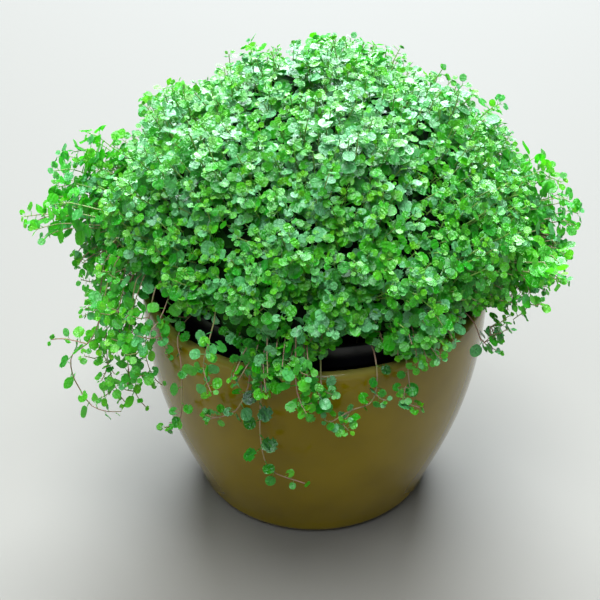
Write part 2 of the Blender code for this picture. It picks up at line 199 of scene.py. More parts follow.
# Trailing stems over the rim: node, azimuth, reach, lowest height, sideways curl and its bend, size of
# leaf, distance between leaves, age of the oldest leaves (1 is old, and past 1 more of them are), and
# where along the hanging part, from its tip, short side shoots leave it
# The ages darken the trailing leaves partly for real ageing and partly as painted shade, for the mound's
# shadow they hang in
TRAILS = (
    ("trailing_stem_front_long", -105.5, 69, 45, 13, HOOKED, 5.6, 6.2, 1.2, (0.85,)),
    ("trailing_stem_front_left", -108, 70, 66, -12, SPREAD, 4.2, 4.4, 0.9, (0.12, 0.95)),
    ("trailing_stem_left_front", -137, 71, 55, 6, BOWED, 4.4, 6.0, 0.8, (0.05, 0.95)),
    ("trailing_stem_front", -88, 73, 84, -1, SPREAD, 4.2, 3.0, 0.8, (0.1, 0.3, 0.5, 0.7, 0.9)),
    ("trailing_stem_front_right", -71, 71, 74, -12, SPREAD, 4.2, 4.4, 0.9, (0.03, 0.12, 0.25, 0.6)),
    ("trailing_stem_right_front", -62, 72, 80, -3, SPREAD, 4.0, 6.5, 0.9, (0.05, 0.2)),
    ("trailing_stem_right", -33, 73, 86, 5, SPREAD, 4.2, 3.4, 0.8, (0.1, 0.3, 0.5, 0.7, 0.9)),
    ("trailing_stem_back_right", 42, 74, 54, 6, SPREAD, 4.6, 3.8, 0.8, (0.1, 0.3, 0.6, 0.9)),
    ("trailing_stem_back", 84, 73, 48, -6, SPREAD, 4.8, 4.0, 0.8, (0.1, 0.4, 0.7, 0.9)),
    ("trailing_stem_back_left", 119, 73, 60, 5, SPREAD, 4.6, 3.6, 0.8, (0.1, 0.3, 0.6, 0.9)),
)
TRAIL_RADIUS = 0.8 * MM
TRAIL_ROOT_RING = 45 * MM
RIM_CLEARANCE = 1.2 * MM

# Leaves of a shoot from its tip down: length of blade, and distance to the next one
LEAF_SIZES = (2.0, 2.3, 2.9, 3.5, 4.0, 4.4, 4.7)
LEAF_GAPS = (0.4, 0.8, 1.2, 1.6, 2.0, 2.4, 2.8)

# A leaf model, a unit long: corners round its edge, and the thickness and breadth of its blade
LEAF_CORNERS = 12
BLADE_THICKNESS = 0.03
BLADE_BREADTH = 0.95

# The way that leaves turn for light: up, a little outwards and a little to the front
LEAF_OUTWARD = 0.2
LEAF_FRONT = Vector((0, -0.35, 0))

# Radii of the stems at their foot and at their tip
SHOOT_STEM = (0.34 * MM, 0.18 * MM)
FINE_STEM = (0.28 * MM, 0.18 * MM)
CURLED_STEM = (0.32 * MM, 0.2 * MM)
TRAIL_STEM = (0.34 * MM, 0.22 * MM)
LEG_STEM = (0.7 * MM, 0.55 * MM)


# Materials


def linear(text):
    """A colour for a socket from its sRGB hex value."""
    parts = [int(text[place:place + 2], 16) / 255 for place in (0, 2, 4)]
    return (*[part / 12.92 if part <= 0.04045 else ((part + 0.055) / 1.055) ** 2.4 for part in parts], 1)


def add_node(tree, kind, settings=None, links=None):
    """Adds a node. Settings are named by socket or by the node's own setting, and links by socket."""
    node = tree.nodes.new(kind)
    for key, value in (settings or {}).items():
        if isinstance(key, int) or key in node.inputs:
            node.inputs[key].default_value = value
        else:
            setattr(node, key, value)
    for key, socket in (links or {}).items():
        tree.links.new(socket, node.inputs[key])
    return node


def new_material(name):
    """A material, its node tree and its shader."""
    material = bpy.data.materials.new(name)
    material.use_nodes = True
    tree = material.node_tree
    return material, tree, tree.nodes["Principled BSDF"]


def set_ramp(ramp, stops):
    """Gives a colour ramp its stops, each a place from 0 to 1 and an sRGB hex value."""
    elements = ramp.color_ramp.elements
    while len(elements) < len(stops):
        elements.new(1)
    for element, (place, colour) in zip(elements, stops):
        element.position = place
        element.color = linear(colour)


def finish_skin(tree, shader, colour, bump, settings):
    """Links a shader's colour and bump, and sets its own sockets by name."""
    tree.links.new(colour, shader.inputs["Base Color"])
    tree.links.new(bump.outputs["Normal"], shader.inputs["Normal"])
    for key, value in settings.items():
        shader.inputs[key].default_value = value


def make_glaze():
    """Glazed earthenware, dipped and fired: deep olive gloss, with a painted highlight as a paler band
    along the lip.

    Its tone drifts in clouds 25 mm wide, and its surface in ripples of 18 mm.
    """
    material, tree, shader = new_material("olive_glazed_earthenware")
    place = add_node(tree, "ShaderNodeTexCoord").outputs["Object"]
    height = add_node(tree, "ShaderNodeSeparateXYZ", {}, {"Vector": place})
    cloud = add_node(tree, "ShaderNodeTexNoise", {"Scale": 40.0, "Detail": 2.0}, {"Vector": place})
    body = add_node(tree, "ShaderNodeValToRGB", {}, {"Fac": cloud.outputs["Fac"]})
    set_ramp(body, ((0.35, "877204"), (0.65, "927C08")))
    # Painted highlight: the top 2.6 mm of the lip is mixed towards a pale khaki, for the light that the lip
    # catches
    lip = add_node(
        tree, "ShaderNodeMapRange",
        {"From Min": COVER_HEIGHT - 2.6 * MM, "From Max": COVER_HEIGHT - 0.3 * MM, "To Max": 0.55},
        {"Value": height.outputs["Z"]},
    )
    thin = add_node(
        tree, "ShaderNodeMix", {"data_type": "RGBA", 7: linear("ACA15A")},
        {"Factor": lip.outputs["Result"], 6: body.outputs["Color"]},
    )
    ripple = add_node(tree, "ShaderNodeTexNoise", {"Scale": 55.0, "Detail": 1.0}, {"Vector": place})
    bump = add_node(
        tree, "ShaderNodeBump", {"Strength": 0.05, "Distance": 0.6 * MM}, {"Height": ripple.outputs["Fac"]}
    )
    finish_skin(tree, shader, thin.outputs[2], bump, {"Roughness": 0.12, "IOR": 1.4})
    return material


def make_grained(name, scale, detail, tones, strength, depth, roughness):
    """A surface whose tone and relief follow one grain, its scale the number of grains in a metre."""
    material, tree, shader = new_material(name)
    place = add_node(tree, "ShaderNodeTexCoord").outputs["Object"]
    grain = add_node(tree, "ShaderNodeTexNoise", {"Scale": scale, "Detail": detail}, {"Vector": place})
    tone = add_node(tree, "ShaderNodeValToRGB", {}, {"Fac": grain.outputs["Fac"]})
    set_ramp(tone, tones)
    bump = add_node(
        tree, "ShaderNodeBump", {"Strength": strength, "Distance": depth}, {"Height": grain.outputs["Fac"]}
    )
    finish_skin(tree, shader, tone.outputs["Color"], bump, {"Roughness": roughness})
    return material


def make_clay():
    """Bare fired clay, where the foot was wiped clean of glaze: buff and dry, with grit of about 1 mm."""
    tones = ((0.3, "B89C7E"), (0.7, "CDB497"))
    return make_grained("bare_fired_clay", 900.0, 4.0, tones, 0.3, 0.2 * MM, 0.85)


def make_plastic():
    """Thin injection-moulded polypropylene: near-black, satin, with a soft waver 14 mm long."""
    tones = ((0.35, "131116"), (0.65, "1D1A21"))
    return make_grained("black_moulded_polypropylene", 70.0, 2.0, tones, 0.15, 0.5 * MM, 0.34)


def make_peat():
    """Damp milled peat: dark brown crumbs of 2 mm with paler fibres, matt."""
    tones = ((0.32, "1C120B"), (0.55, "34241A"), (0.72, "5A4330"))
    return make_grained("damp_milled_peat", 480.0, 5.0, tones, 0.8, 0.8 * MM, 0.9)


def make_leaf_skin(name, young, grown, old, glow, thin):
    """Living leaf, thin and juicy: waxy gloss over a quilted face, pale veins, a painted rim light, a
    painted sheen on the bluest leaves, and light shining through.

    Its colour runs from young to old with the leaf's age, glow tints the light that comes through, and
    thin is the share that does.
    """
    material, tree, shader = new_material(name)
    blade = add_node(tree, "ShaderNodeUVMap", {"uv_map": "leaf_uv"})
    across = add_node(tree, "ShaderNodeSeparateXYZ", {}, {"Vector": blade.outputs["UV"]})
    age = add_node(tree, "ShaderNodeAttribute", {"attribute_name": "leaf_age"})
    tint = add_node(tree, "ShaderNodeAttribute", {"attribute_name": "leaf_tint"})
    # Leaves darken from yellow-green when young to dark green when old; the darkest old green also serves
    # as painted shade on trailing leaves under the mound
    tone = add_node(tree, "ShaderNodeValToRGB", {}, {"Fac": age.outputs["Fac"]})
    set_ramp(tone, ((0.0, young), (0.5, grown), (1.0, old)))
    # Three to five veins fan out from the stalk
    side = add_node(tree, "ShaderNodeMath", {"operation": "SUBTRACT", 1: 0.5}, {0: across.outputs["X"]})
    ahead = add_node(tree, "ShaderNodeMath", {"operation": "ADD", 1: 0.15}, {0: across.outputs["Y"]})
    bearing = add_node(
        tree, "ShaderNodeMath", {"operation": "ARCTAN2"}, {0: side.outputs[0], 1: ahead.outputs[0]}
    )
    spread = add_node(tree, "ShaderNodeMath", {"operation": "MULTIPLY", 1: 12.0}, {0: bearing.outputs[0]})
    fan = add_node(tree, "ShaderNodeMath", {"operation": "COSINE"}, {0: spread.outputs[0]})
    thread = add_node(tree, "ShaderNodeMapRange", {"From Min": 0.6}, {"Value": fan.outputs[0]})
    fade = add_node(
        tree, "ShaderNodeMapRange", {"From Min": 0.15, "To Min": 0.4, "To Max": 0.1},
        {"Value": across.outputs["Y"]},
    )
    vein = add_node(
        tree, "ShaderNodeMath", {"operation": "MULTIPLY"}, {0: thread.outputs[0], 1: fade.outputs[0]}
    )
    # The blade is painted paler along its rim: a painted rim light, for the light that shines through its
    # thin edge
    middle = add_node(
        tree, "ShaderNodeVectorMath", {"operation": "DISTANCE", 1: (0.5, 0.5, 0)},
        {0: blade.outputs["UV"]},
    )
    rim = add_node(
        tree, "ShaderNodeMapRange", {"From Min": 0.42, "From Max": 0.52, "To Max": 0.5},
        {"Value": middle.outputs["Value"]},
    )
    pale = add_node(
        tree, "ShaderNodeMath", {"operation": "MAXIMUM"}, {0: vein.outputs[0], 1: rim.outputs[0]}
    )
    veined = add_node(
        tree, "ShaderNodeMix", {"data_type": "RGBA", 7: linear("94EC34")},
        {"Factor": pale.outputs[0], 6: tone.outputs["Color"]},
    )
    # From leaf to leaf the green runs from bluish and dull to yellowish and bright
    lean = add_node(tree, "ShaderNodeValToRGB", {}, {"Fac": tint.outputs["Fac"]})
    set_ramp(lean, ((0.05, "98D8BC"), (0.5, "B8EEA0"), (0.95, "ECF878")))
    toned = add_node(
        tree, "ShaderNodeMix", {"data_type": "RGBA", "blend_type": "MULTIPLY", "Factor": 1.0},
        {6: veined.outputs[2], 7: lean.outputs["Color"]},
    )
    # The bluest ones are mixed towards a pale mint: a painted sheen, for the window light that they reflect
    painted_sheen_mask = add_node(
        tree, "ShaderNodeMapRange", {"From Min": 0.32, "From Max": 0.1, "To Max": 0.62},
        {"Value": tint.outputs["Fac"]},
    )
    painted_sheen_colour = add_node(
        tree, "ShaderNodeMix", {"data_type": "RGBA", 7: linear("9CFAB0")},
        {"Factor": painted_sheen_mask.outputs["Result"], 6: toned.outputs[2]},
    )
    # Light through the blade comes out yellower and bright
    through = add_node(
        tree, "ShaderNodeMix", {"data_type": "RGBA", "Factor": 0.4, 7: linear(glow)}, {6: toned.outputs[2]}
    )
    glowing = add_node(
        tree, "ShaderNodeVectorMath", {"operation": "SCALE", "Scale": 1.5}, {0: through.outputs[2]}
    )
    # The face is quilted: it stands up in cells a millimetre wide, between its veins and cross ribs
    place = add_node(tree, "ShaderNodeTexCoord").outputs["Object"]
    pucker = add_node(tree, "ShaderNodeTexNoise", {"Scale": 850.0, "Detail": 1.0}, {"Vector": place})
    groove = add_node(
        tree, "ShaderNodeMath", {"operation": "MULTIPLY_ADD", 1: -0.4},
        {0: thread.outputs[0], 2: pucker.outputs["Fac"]},
    )
    rows = add_node(tree, "ShaderNodeMath", {"operation": "MULTIPLY", 1: 20.0}, {0: across.outputs["Y"]})
    waver = add_node(
        tree, "ShaderNodeMath", {"operation": "MULTIPLY_ADD", 1: 7.0},
        {0: pucker.outputs["Fac"], 2: rows.outputs[0]},
    )
    rib = add_node(tree, "ShaderNodeMath", {"operation": "COSINE"}, {0: waver.outputs[0]})
    quilt = add_node(
        tree, "ShaderNodeMath", {"operation": "MULTIPLY_ADD", 1: 0.14},
        {0: rib.outputs[0], 2: groove.outputs[0]},
    )
    bump = add_node(tree, "ShaderNodeBump", {"Distance": 0.6 * MM}, {"Height": quilt.outputs[0]})
    finish_skin(tree, shader, painted_sheen_colour.outputs[2], bump, {
        "Roughness": 0.36, "IOR": 1.5, "Specular IOR Level": 0.75,
        "Coat Weight": 0.85, "Coat Roughness": 0.32,
    })
    lit_through = add_node(tree, "ShaderNodeBsdfTranslucent", {}, {"Color": glowing.outputs[0]})
    both = add_node(
        tree, "ShaderNodeMixShader", {"Fac": thin}, {1: shader.outputs[0], 2: lit_through.outputs[0]}
    )
    tree.links.new(both.outputs[0], tree.nodes["Material Output"].inputs["Surface"])
    return material


def make_stem_skin():
    """Young plant stem: a juicy thread, pinkish tan low down and green up in the light."""
    material, tree, shader = new_material("juicy_stem")
    place = add_node(tree, "ShaderNodeTexCoord").outputs["Object"]
    height = add_node(tree, "ShaderNodeSeparateXYZ", {}, {"Vector": place})
    patch = add_node(tree, "ShaderNodeTexNoise", {"Scale": 90.0, "Detail": 2.0}, {"Vector": place})
    tone = add_node(tree, "ShaderNodeValToRGB", {}, {"Fac": patch.outputs["Fac"]})
    set_ramp(tone, ((0.35, "A8A064"), (0.5, "BC967C"), (0.7, "B67F70")))
    light = add_node(
        tree, "ShaderNodeMapRange",
        {"From Min": MOUND_CENTRE.z + 2 * MM, "From Max": MOUND_CENTRE.z + 18 * MM, "To Max": 0.85},
        {"Value": height.outputs["Z"]},
    )
    greened = add_node(
        tree, "ShaderNodeMix", {"data_type": "RGBA", 7: linear("8FBF50")},
        {"Factor": light.outputs["Result"], 6: tone.outputs["Color"]},
    )
    tree.links.new(greened.outputs[2], shader.inputs["Base Color"])
    shader.inputs["Roughness"].default_value = 0.45
    return material


def make_tangle_skin():
    """The shaded inside of the mound, seen between shoots: overlapping 4 mm leaves in deep green, darkened
    to near-black as painted shade.
    """
    material, tree, shader = new_material("shaded_inner_leaves")
    place = add_node(tree, "ShaderNodeTexCoord").outputs["Object"]
    leaves = add_node(tree, "ShaderNodeTexVoronoi", {"Scale": 240.0}, {"Vector": place})
    pick = add_node(tree, "ShaderNodeSeparateColor", {}, {"Color": leaves.outputs["Color"]})
    tone = add_node(tree, "ShaderNodeValToRGB", {}, {"Fac": pick.outputs[0]})
    set_ramp(tone, ((0.1, "081005"), (0.55, "122E0C"), (0.95, "265A1A")))
    falling = add_node(
        tree, "ShaderNodeMapRange", {"From Max": 0.9, "To Min": 1.0, "To Max": 0.1},
        {"Value": leaves.outputs["Distance"]},
    )
    bump = add_node(tree, "ShaderNodeBump", {"Distance": 2.0 * MM}, {"Height": falling.outputs["Result"]})
    finish_skin(tree, shader, tone.outputs["Color"], bump, {"Roughness": 0.9, "Specular IOR Level": 0.1})
    return material


# Objects and meshes


def add_object(name, data):
    """An object in the scene from its mesh, curve, lamp or camera data."""
    obj = bpy.data.objects.new(name, data)
    bpy.context.scene.collection.objects.link(obj)
    return obj


def select_only(*objects):
    """Deselects everything, then selects these objects and makes the last one active."""
    bpy.ops.object.select_all(action="DESELECT")
    for obj in objects:
        obj.select_set(True)
        bpy.context.view_layer.objects.active = obj


def join_pieces(whole, part):
    """Joins a part, such as stems, to its whole, which keeps its name."""
    select_only(part, whole)
    bpy.ops.object.join()
    return whole


def edit_all():
    """Opens the active object in edit mode, with all of it selected."""
    bpy.ops.object.mode_set(mode="EDIT")
    bpy.ops.mesh.select_all(action="SELECT")


def mesh_object(name, coords, triangles):
    """An object from an array of points and an array of triangles."""
    mesh = bpy.data.meshes.new(name)
    mesh.vertices.add(len(coords))
    mesh.vertices.foreach_set("co", np.ascontiguousarray(coords, np.float32).ravel())
    mesh.loops.add(3 * len(triangles))
    mesh.loops.foreach_set("vertex_index", np.ascontiguousarray(triangles, np.int32).ravel())
    mesh.polygons.add(len(triangles))
    mesh.polygons.foreach_set("loop_start", np.arange(0, 3 * len(triangles), 3, dtype=np.int32))
    mesh.update(calc_edges=True)
    mesh.shade_smooth()
    return add_object(name, mesh)


# Pots and growing mix


def raise_shell(name, rings, sides):
    """A closed shell, raised from a filled circle by one extrusion for each further (radius, height)."""
    select_only()
    radius, height = rings[0]
    bpy.ops.mesh.primitive_circle_add(
        vertices=sides, radius=radius, fill_type="NGON", location=(0, 0, height)
    )
    shell = bpy.context.object
    shell.name = name
    bpy.ops.object.transform_apply()
    edit_all()
    for next_radius, next_height in rings[1:]:
        bpy.ops.mesh.extrude_region_move(TRANSFORM_OT_translate={"value": (0, 0, next_height - height)})
        ratio = next_radius / radius
        bpy.ops.transform.resize(value=(ratio, ratio, 1), center_override=(0, 0, next_height))
        radius, height = next_radius, next_height
    bpy.ops.mesh.select_all(action="SELECT")
    bpy.ops.mesh.normals_make_consistent(inside=False)
    bpy.ops.object.mode_set(mode="OBJECT")
    bpy.ops.object.shade_smooth_by_angle(angle=math.radians(35))
    return shell


def cover_radius(height):
    """The cover pot's outer radius: it flares fast above the foot and stands upright at the rim."""
    share = height / COVER_HEIGHT
    belly = (1 - (1 - share) ** BELLY_RISE) ** BELLY_FLARE
    return COVER_FOOT_RADIUS + (COVER_RIM_RADIUS - COVER_FOOT_RADIUS) * belly


def make_cover_pot(glaze, clay):
    """The bowl-sided pot: rings up its outside, over its round lip and down inside to its floor."""
    foot_edge = cover_radius(COVER_FOOT_ROUND) - COVER_FOOT_ROUND
    lip = COVER_WALL / 2
    rings = [(foot_edge - COVER_FOOT_RING, 0), (foot_edge, 0)]
    for degrees in range(15, 91, 15):
        turn = math.radians(degrees)
        rise = 1 - math.cos(turn)
        rings.append((foot_edge + COVER_FOOT_ROUND * math.sin(turn), COVER_FOOT_ROUND * rise))
    for step in range(1, 17):
        height = COVER_FOOT_ROUND + (COVER_HEIGHT - lip - COVER_FOOT_ROUND) * step / 17
        rings.append((cover_radius(height), height))
    for degrees in range(0, 181, 15):
        turn = math.radians(degrees)
        rings.append(
            (COVER_RIM_RADIUS + lip * (math.cos(turn) - 1), COVER_HEIGHT + lip * (math.sin(turn) - 1))
        )
    for step in range(11, 0, -1):
        height = COVER_FLOOR + (COVER_HEIGHT - COVER_FLOOR) * step / 12
        rings.append((cover_radius(height) - COVER_WALL, height))
    rings.append((foot_edge, COVER_FLOOR))
    rings.append((foot_edge - COVER_FOOT_RING, COVER_FLOOR))
    pot = raise_shell("cover_pot_glazed", rings, COVER_SIDES)
    pot.data.materials.append(glaze)
    pot.data.materials.append(clay)
    for face in pot.data.polygons:
        if face.center.z < 0.05 * MM:
            face.material_index = 1
    return pot


def nursery_radius(height):
    """The nursery pot's outer radius below its rim band."""
    share = (height - NURSERY_FOOT) / (NURSERY_BAND_FOOT - NURSERY_FOOT)
    return NURSERY_FOOT_RADIUS + (NURSERY_TOP_RADIUS - NURSERY_FOOT_RADIUS) * share


def make_nursery_pot(plastic):
    """The thin pot with its banded rim, and drain holes cut through its floor."""
    edge = NURSERY_EDGE
    band = NURSERY_RIM_RADIUS
    top = NURSERY_RIM_TOP
    rings = [
        (NURSERY_FOOT_RADIUS - 2 * edge, NURSERY_FOOT),
        (nursery_radius(NURSERY_FOOT + 2 * edge) - 0.4 * edge, NURSERY_FOOT + edge),
        (nursery_radius(NURSERY_FOOT + 2 * edge), NURSERY_FOOT + 2 * edge),
        (NURSERY_TOP_RADIUS, NURSERY_BAND_FOOT - edge),
        (band - edge, NURSERY_BAND_FOOT),
        (band - 0.2 * edge, NURSERY_BAND_FOOT + 0.5 * edge),
        (band, top - edge),
        (band - 0.3 * edge, top - 0.3 * edge),
        (band - edge, top),
        (band - edge - 0.6 * NURSERY_WALL, top - 0.1 * edge),
        (band - edge - NURSERY_WALL, top - 0.5 * edge),
        (NURSERY_TOP_RADIUS - NURSERY_WALL, NURSERY_BAND_FOOT),
        (nursery_radius(NURSERY_FLOOR) - NURSERY_WALL, NURSERY_FLOOR),
    ]
    pot = raise_shell("nursery_pot_moulded", rings, NURSERY_SIDES)
    for index in range(DRAIN_HOLES):
        turn = math.tau * index / DRAIN_HOLES
        select_only()
        bpy.ops.mesh.primitive_cylinder_add(
            vertices=24, radius=DRAIN_RADIUS, depth=12 * NURSERY_WALL,
            location=(DRAIN_CIRCLE * math.cos(turn), DRAIN_CIRCLE * math.sin(turn), NURSERY_FOOT),
        )
        drill = bpy.context.object
        cut = pot.modifiers.new("drain_hole", "BOOLEAN")
        cut.object = drill
        cut.solver = "EXACT"
        bpy.context.view_layer.objects.active = pot
        bpy.ops.object.modifier_apply(modifier="drain_hole")
        bpy.data.objects.remove(drill, do_unlink=True)
    pot.data.transform(Matrix.Translation(NURSERY_SHIFT))
    pot.data.materials.clear()
    pot.data.materials.append(plastic)
    return pot


def make_peat_crumbs(peat):
    """Loose crumbs on top of the growing mix, one rough lump copied at many sizes and turns."""
    chance = random.Random(11)
    select_only()
    bpy.ops.mesh.primitive_ico_sphere_add(subdivisions=1, radius=1)
    lump = bpy.context.object
    for vert in lump.data.vertices:
        vert.co *= 1 + 0.5 * noise.noise(1.7 * vert.co)
        vert.co.z *= 0.7
    base = np.array([vert.co[:] for vert in lump.data.vertices])
    faces = np.array([face.vertices[:] for face in lump.data.polygons])
    bpy.data.objects.remove(lump, do_unlink=True)
    places = []
    for _ in range(CRUMB_COUNT):
        radius = SOIL_RADIUS * math.sqrt(chance.random())
        spot = around(math.degrees(chance.uniform(0, math.tau)), radius, 0)
        size = chance.uniform(*CRUMB_SIZES)
        rise = SOIL_TOP + SOIL_CROWN * (1 - (radius / SOIL_RADIUS) ** 2) + 0.3 * size
        turn = Matrix.Rotation(chance.uniform(0, math.tau), 3, chance_direction(chance))
        places.append((np.array(turn) * size, np.array(spot + NURSERY_SHIFT + rise * UP)))
    coords = np.concatenate([base @ turn.T + spot for turn, spot in places])
    triangles = np.concatenate([faces + index * len(base) for index in range(len(places))])
    crumbs = mesh_object("peat_crumbs", coords, triangles)
    crumbs.data.materials.append(peat)
    return crumbs


# Foliage


def chance_direction(chance):
    rise = chance.uniform(-1, 1)
    turn = chance.uniform(0, math.tau)
    level = math.sqrt(1 - rise * rise)
    return Vector((level * math.cos(turn), level * math.sin(turn), rise))


def around(azimuth, radius, height):
    turn = math.radians(azimuth)
    return Vector((radius * math.cos(turn), radius * math.sin(turn), height))


def outward_of(point):
    """Level direction away from the pot's axis."""
    return Vector((point.x, point.y, 0)).normalized()


def mound_point(direction, depth=0.0):
    """The point of the mound that way from its centre, at a depth below its outermost leaves."""
    azimuth = math.atan2(direction.y, direction.x)
    rise = max(0, direction.z)
    for middle, share, half_angle, bulge in SWELLS:
        level = math.sqrt(1 - share * share)
        off = math.degrees(direction.angle(around(middle, level, share)))
        depth -= bulge * MM * math.exp(-((off / half_angle) ** 2))
    swell = (
        0.028 * math.sin(3 * azimuth + 0.6) * (1 - rise)
        + 0.022 * math.sin(5 * azimuth - 1.1 + 3 * rise)
        + 0.020 * math.cos(7 * rise + 2 * azimuth)
    )
    reach = (MOUND_REACH - depth) * (1 + swell)
    height = (MOUND_RISE - depth) * (1 + swell) if direction.z > 0 else CORE_UNDERSIDE
    for middle, half_width, bare in BARE_RIM:
        off = (math.degrees(azimuth) - middle + 180) % 360 - 180
        reach -= bare * math.exp(-((off / half_width) ** 2)) * max(0, 1 - 2.5 * rise)
    return MOUND_CENTRE + Vector((direction.x * reach, direction.y * reach, direction.z * height))


def smooth_line(points, step):
    """Points about every step along a smooth curve through the given points."""
    ends = [2 * points[0] - points[1]] + points + [2 * points[-1] - points[-2]]
    line = []
    for index in range(1, len(ends) - 2):
        before, start, end, after = ends[index - 1:index + 3]
        pieces = max(1, round((end - start).length / step))
        for piece in range(pieces):
            t = piece / pieces
            line.append(0.5 * (
                2 * start
                + (end - before) * t
                + (2 * before - 5 * start + 4 * end - after) * t ** 2
                + (3 * start - before - 3 * end + after) * t ** 3
            ))
    line.append(points[-1])
    return line


def clear_of_pots(point, margin):
    """The point, moved off the pots' walls and rims where it is nearer to them than the margin."""
    spot = point.copy()
    radius = math.hypot(spot.x, spot.y)
    inner = (spot - NURSERY_SHIFT).to_2d().length
    if NURSERY_MOUTH < inner < NURSERY_RIM_RADIUS + margin and spot.z < NURSERY_RIM_TOP + margin:
        spot.z = NURSERY_RIM_TOP + margin
    elif radius < COVER_RIM_RADIUS - MM and spot.z < COVER_HEIGHT + margin:
        spot.z = COVER_HEIGHT + margin
    elif spot.z < COVER_HEIGHT and radius < cover_radius(spot.z) + margin:
        spot += (cover_radius(spot.z) + margin - radius) * outward_of(spot)
    return spot


def model_leaf(name, cup, wave, droop):
    """One round leaf a unit long, tip towards +Y and face up: a thin closed blade on a short stalk."""
    select_only()
    bpy.ops.mesh.primitive_circle_add(
        vertices=LEAF_CORNERS, radius=0.5, fill_type="TRIFAN", location=(0, 0.5, 0)
    )
    leaf = bpy.context.object
    leaf.name = name
    bpy.ops.object.transform_apply()
    edit_all()
    bpy.ops.mesh.duplicate()
    bpy.ops.mesh.flip_normals()
    bpy.ops.transform.translate(value=(0, 0, -BLADE_THICKNESS))
    bpy.ops.object.mode_set(mode="OBJECT")
    for vert in leaf.data.vertices:
        x, y, z = vert.co
        turn = math.atan2(x, y - 0.5)
        if math.hypot(x, y - 0.5) > 0.1:
            # The outline, notched where the stalk joins it. Both faces meet along it, so the blade closes
            notch = 0.10 * math.exp(-((abs(turn) - math.pi) / 0.35) ** 2)
            vert.co.x = x * BLADE_BREADTH
            vert.co.y = 0.5 + (y - 0.5) * (1 - notch)
            vert.co.z = cup + wave * math.sin(3 * turn + 1)
        else:
            vert.co.z = -BLADE_THICKNESS if z < -0.01 else 0.02
        vert.co.z -= droop * y * y
    edit_all()
    bpy.ops.mesh.remove_doubles(threshold=0.001)
    bpy.ops.object.mode_set(mode="OBJECT")
    select_only()
    bpy.ops.mesh.primitive_cone_add(
        vertices=3, radius1=0.045, radius2=0.03, depth=0.5, rotation=(math.radians(-90), 0, 0),
        location=(0, -0.17, -0.02 + 0.3 * cup),
    )
    stalk = bpy.context.object
    bpy.ops.object.transform_apply()
    join_pieces(leaf, stalk)
    edit_all()
    bpy.ops.mesh.quads_convert_to_tris()
    bpy.ops.object.mode_set(mode="OBJECT")
    coords = np.array([vert.co[:] for vert in leaf.data.vertices])
    triangles = np.array([face.vertices[:] for face in leaf.data.polygons])
    bpy.data.objects.remove(leaf, do_unlink=True)
    return coords, triangles


class Foliage:
    """Leaves and stems gathered for one piece. The tone tints a shoot's leaves, bluish 0 to yellowish 1."""

    def __init__(self):
        self.tone = 0.5
        self.models = []
        self.bases = []
        self.frames = []
        self.ages = []
        self.tints = []
        self.lines = []

    def add_leaf(self, chance, base, along, face, size, age):
        """A leaf that grows from a base along a line, with its face turned that way, clear of the pots."""
        along = along.normalized()
        across = along.cross(face).normalized()
        face = across.cross(along)
        middle = base + 0.75 * size * along
        moved = clear_of_pots(middle, 0.55 * size) - middle
        self.models.append(chance.randrange(len(LEAF_MODELS)))
        self.bases.append(base + 0.35 * size * along + moved)
        self.frames.append(np.array((across, along, face)) * size)
        self.ages.append(min(1, max(0, age + chance.uniform(-0.12, 0.12))))
        self.tints.append(0.5 + 0.7 * (self.tone - 0.5) + 0.7 * (chance.random() - 0.5))

    def add_stem(self, line, ends):
        self.lines.append((line, *ends))


def leafy_mesh(name, foliage, skin):
    """All the leaves of a piece in one mesh, each a copy of one of the leaf models."""
    shapes = np.stack([coords for coords, _ in LEAF_MODELS])
    triangles = LEAF_MODELS[0][1]
    frames = np.array(foliage.frames)
    local = shapes[np.array(foliage.models)]
    coords = np.einsum("nvk,nkj->nvj", local, frames) + np.array(foliage.bases)[:, None, :]
    count, corners, _ = coords.shape
    offsets = (np.arange(count) * corners)[:, None, None]
    obj = mesh_object(name, coords.reshape(-1, 3), (triangles[None] + offsets).reshape(-1, 3))
    mesh = obj.data
    for attribute, values in (("leaf_age", foliage.ages), ("leaf_tint", foliage.tints)):
        layer = mesh.attributes.new(attribute, "FLOAT", "POINT")
        layer.data.foreach_set("value", np.repeat(np.array(values, np.float32), corners))
    # A leaf's map is its own plane, a unit broad and a unit long
    flat = local[:, :, :2] + np.array((0.5, 0))
    order = np.empty(len(mesh.loops), np.int32)
    mesh.loops.foreach_get("vertex_index", order)
    mesh.uv_layers.new(name="leaf_uv").uv.foreach_set(
        "vector", flat.reshape(-1, 2)[order].astype(np.float32).ravel()
    )
    mesh.set_sharp_from_angle(angle=math.radians(70))
    mesh.materials.append(skin)
    return obj


def stem_mesh(name, lines, skin):
    """All the stems of a piece as thin threads along their lines, tapered from foot to tip."""
    curve = bpy.data.curves.new(name, "CURVE")
    curve.dimensions = "3D"
    curve.bevel_depth = MM
    curve.bevel_resolution = 0
    curve.use_fill_caps = True
    for line, thick, thin in lines:
        spline = curve.splines.new("POLY")
        spline.points.add(len(line) - 1)
        for index, point in enumerate(line):
            spline.points[index].co = (*point, 1)
            spline.points[index].radius = (thick + (thin - thick) * index / (len(line) - 1)) / MM
    obj = add_object(name, curve)
    select_only(obj)
    bpy.ops.object.convert(target="MESH")
    obj = bpy.context.object
    obj.data.shade_smooth()
    obj.data.set_sharp_from_angle(angle=math.radians(100))
    obj.data.materials.append(skin)
    return obj


def along_from_tip(line, distance):
    """The point at a distance back from a line's end, and the line's direction there."""
    for index in range(len(line) - 1, 0, -1):
        stretch = line[index] - line[index - 1]
        if distance <= stretch.length:
            return line[index] - distance * stretch.normalized(), stretch.normalized()
        distance -= stretch.length
    return None, None


